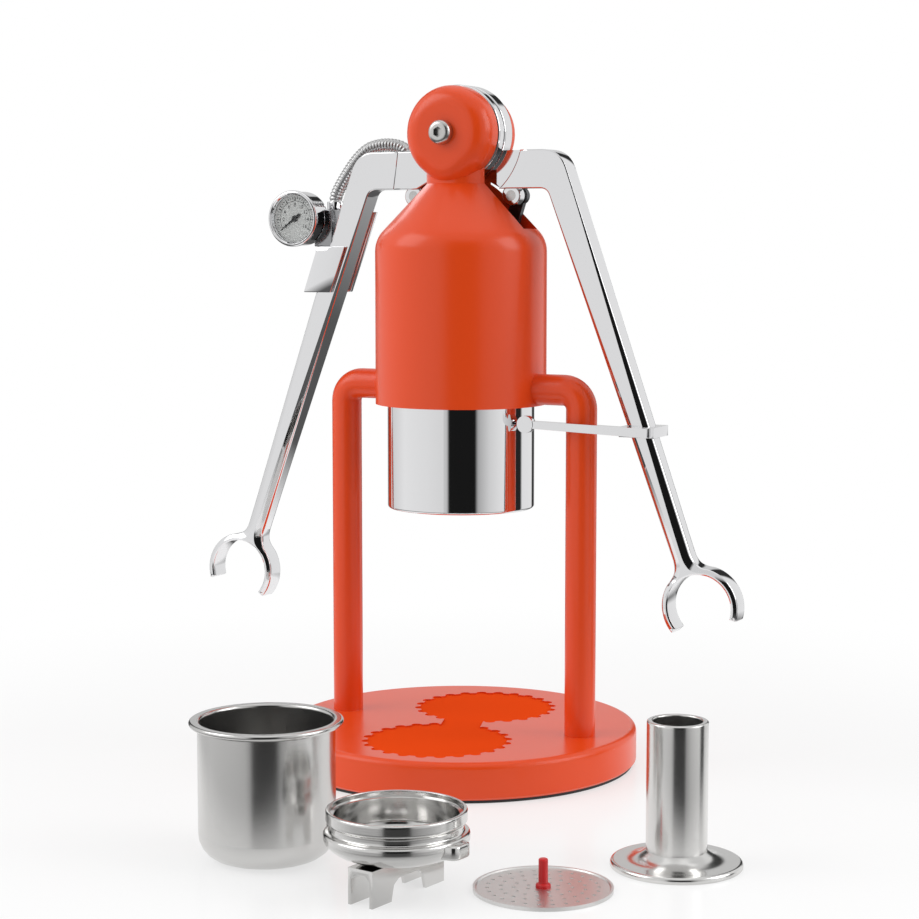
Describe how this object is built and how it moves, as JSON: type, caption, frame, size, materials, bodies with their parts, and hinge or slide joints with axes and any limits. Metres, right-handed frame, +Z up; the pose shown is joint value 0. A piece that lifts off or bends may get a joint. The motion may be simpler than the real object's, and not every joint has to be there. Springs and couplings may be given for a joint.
{
  "type": "handheld manual espresso maker",
  "caption": "Lever press for espresso: a painted stand with chrome arms that drive a piston, a pressure gauge, and its basket, portafilter, screen and tamper set out in front.",
  "frame": {"origin": "centre of the base's underside, on the surface that the press stands on", "axes": "+Z up, -Y to the front where the gauge faces and the loose pieces stand, X along the two legs with the gauge on the -X arm"},
  "size_m": [0.3164, 0.304, 0.3125],
  "materials": {
    "orange_paint": "gloss",
    "chrome": "polished",
    "satin_steel": "satin",
    "dark_steel": "satin",
    "black_rubber": "matte",
    "red_silicone": "satin",
    "dial_face": "matte",
    "needle_dark": "satin",
    "clear_lens": "clear"
  },
  "bodies": {
    "stand": {"base_mat": "black_rubber", "base_plate": "orange_paint", "leg_screws": "dark_steel", "frame_casting": "orange_paint", "group_skirt": "chrome", "rod_guide": "satin_steel", "head_axle": "satin_steel", "eye_bolts": "satin_steel"},
    "left_arm": {"left_arm": "chrome", "left_arm_bush": "satin_steel", "left_lug_pin": "satin_steel", "gauge_sleeve": "chrome", "sleeve_screws": "satin_steel", "gauge_case": "chrome", "gauge_bezel": "chrome", "gauge_dial": "dial_face", "gauge_lens": "clear_lens", "gauge_block": "dark_steel", "gauge_hose": "satin_steel", "hose_ferrules": "chrome", "hose_inlet": "dark_steel"},
    "gauge_needle": {"gauge_needle": "needle_dark"},
    "right_arm": {"right_arm": "chrome", "right_arm_bush": "satin_steel", "right_lug_pin": "satin_steel", "arm_stay": "chrome"},
    "piston": {"piston_rod": "satin_steel", "piston_head": "satin_steel", "piston_seal": "black_rubber", "rod_nut": "dark_steel", "piston_yoke": "satin_steel", "yoke_pins": "dark_steel"},
    "left_link": {"left_link": "satin_steel", "left_link_pin": "dark_steel"},
    "right_link": {"right_link": "satin_steel", "right_link_pin": "dark_steel"},
    "basket": {"filter_basket": "satin_steel"},
    "portafilter": {"portafilter_ring": "chrome", "double_spout": "chrome", "spout_screw": "satin_steel"},
    "screen": {"dispersion_screen": "satin_steel", "screen_stem": "red_silicone"},
    "tamper": {"tamper_base": "satin_steel", "tamper_handle": "satin_steel"}
  },
  "joints": [
    {"name": "left_arm_lift", "type": "hinge", "parent": "stand", "child": "left_arm", "pos_m": [0, 0, 0.2905], "axis": [0, 1, 0], "range_deg": [0, 98]},
    {"name": "right_arm_lift", "type": "hinge", "parent": "stand", "child": "right_arm", "pos_m": [0, 0, 0.2905], "axis": [0, -1, 0], "range_deg": [0, 98]},
    {"name": "piston_stroke", "type": "slide", "parent": "stand", "child": "piston", "axis": [0, 0, 1], "range_m": [0, 0.0564]},
    {"name": "left_link_swing", "type": "hinge", "parent": "piston", "child": "left_link", "pos_m": [-0.006, 0.0109, 0.2056], "axis": [0, 1, 0], "range_deg": [0, 0.75]},
    {"name": "right_link_swing", "type": "hinge", "parent": "piston", "child": "right_link", "pos_m": [0.006, 0.0109, 0.2056], "axis": [0, -1, 0], "range_deg": [0, 0.75]},
    {"name": "needle_turn", "type": "hinge", "parent": "left_arm", "child": "gauge_needle", "pos_m": [-0.0843, -0.0076, 0.2524], "axis": [0, 1, 0], "range_deg": [0, 250], "stiffness_Nm_per_rad": 0.0001},
    {"name": "basket_lift", "type": "slide", "parent": "stand", "child": "basket", "axis": [0, 0, 1], "range_m": [0, 0.1]},
    {"name": "portafilter_lift", "type": "slide", "parent": "stand", "child": "portafilter", "axis": [0, 0, 1], "range_m": [0, 0.1]},
    {"name": "screen_lift", "type": "slide", "parent": "stand", "child": "screen", "axis": [0, 0, 1], "range_m": [0, 0.1]},
    {"name": "tamper_lift", "type": "slide", "parent": "stand", "child": "tamper", "axis": [0, 0, 1], "range_m": [0, 0.1]}
  ],
  "couplings": [
    {"joint": "right_arm_lift", "follows": "left_arm_lift", "ratio": 1},
    {"joint": "piston_stroke", "follows": "left_arm_lift", "m_per_rad": 0.032974},
    {"joint": "left_link_swing", "follows": "left_arm_lift", "ratio": 0.007653},
    {"joint": "right_link_swing", "follows": "left_arm_lift", "ratio": 0.007653}
  ]
}
